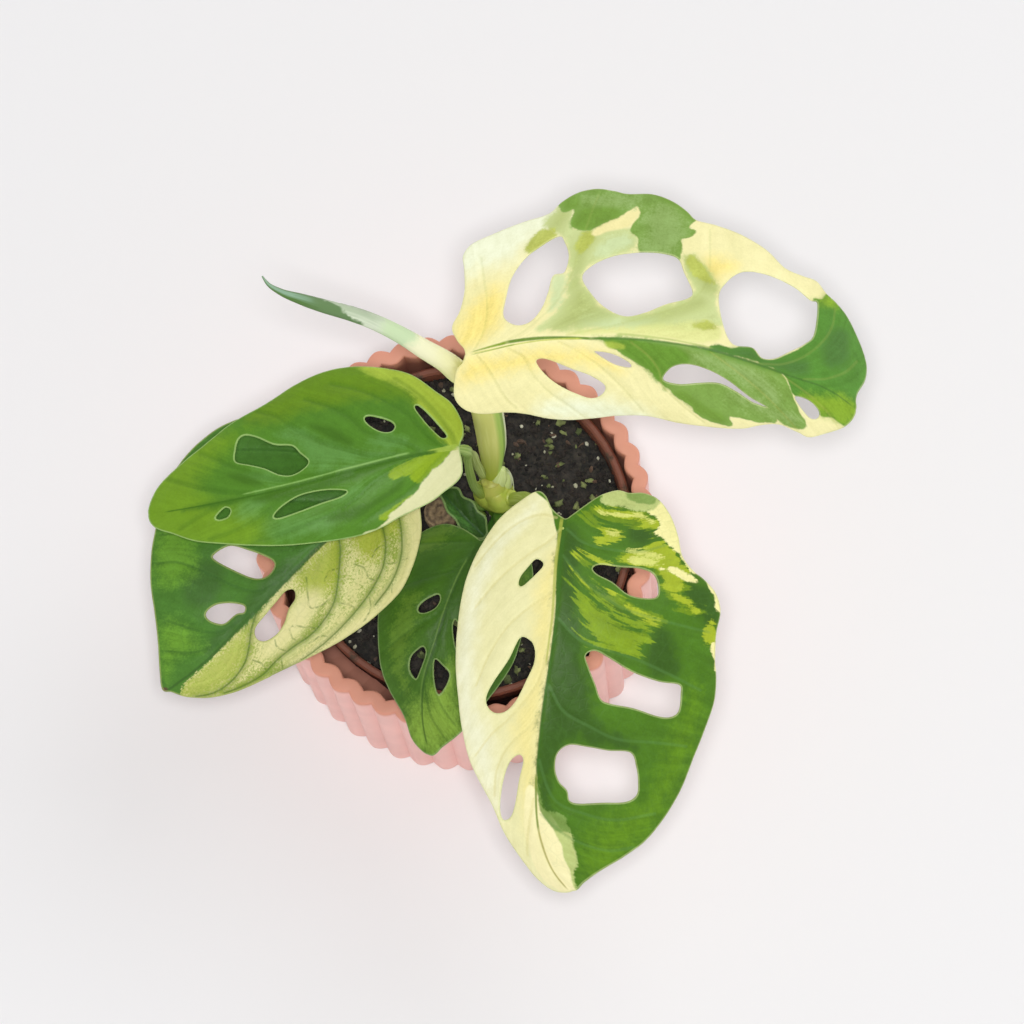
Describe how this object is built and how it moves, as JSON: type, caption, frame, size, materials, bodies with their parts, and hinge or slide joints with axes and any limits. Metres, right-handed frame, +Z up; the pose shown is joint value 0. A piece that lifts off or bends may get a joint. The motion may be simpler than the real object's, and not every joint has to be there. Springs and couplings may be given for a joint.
{
  "type": "potted monstera adansonii",
  "caption": "Young variegated Swiss cheese vine with holed cream and green leaves, in a nursery pot inside a round fluted ceramic cover pot.",
  "frame": {"origin": "centre of the cover pot's flat underside", "axes": "+Z up along the pot's axis; +X is the side that the longest leaf points to, and -Y the side of the leaf with one cream half"},
  "size_m": [0.2096, 0.1993, 0.1983],
  "materials": {
    "ceramic": "matte",
    "pot_plastic": "satin",
    "potting_mix": "matte",
    "stem": "satin",
    "cork": "matte",
    "leaf": "satin",
    "rolled_leaf": "satin"
  },
  "bodies": {
    "root": {"cover_pot": "ceramic", "nursery_pot": "pot_plastic", "soil": "potting_mix", "main_stem": "stem", "cut_stump": "cork", "petiole_a": "stem", "petiole_b": "stem", "petiole_c": "stem", "petiole_d": "stem", "petiole_e": "stem", "petiole_f": "stem", "leaf_a": "leaf", "leaf_b": "leaf", "leaf_c": "leaf", "leaf_d": "leaf", "leaf_e": "leaf", "leaf_f": "leaf", "rolled_leaf": "rolled_leaf"}
  },
  "joints": []
}
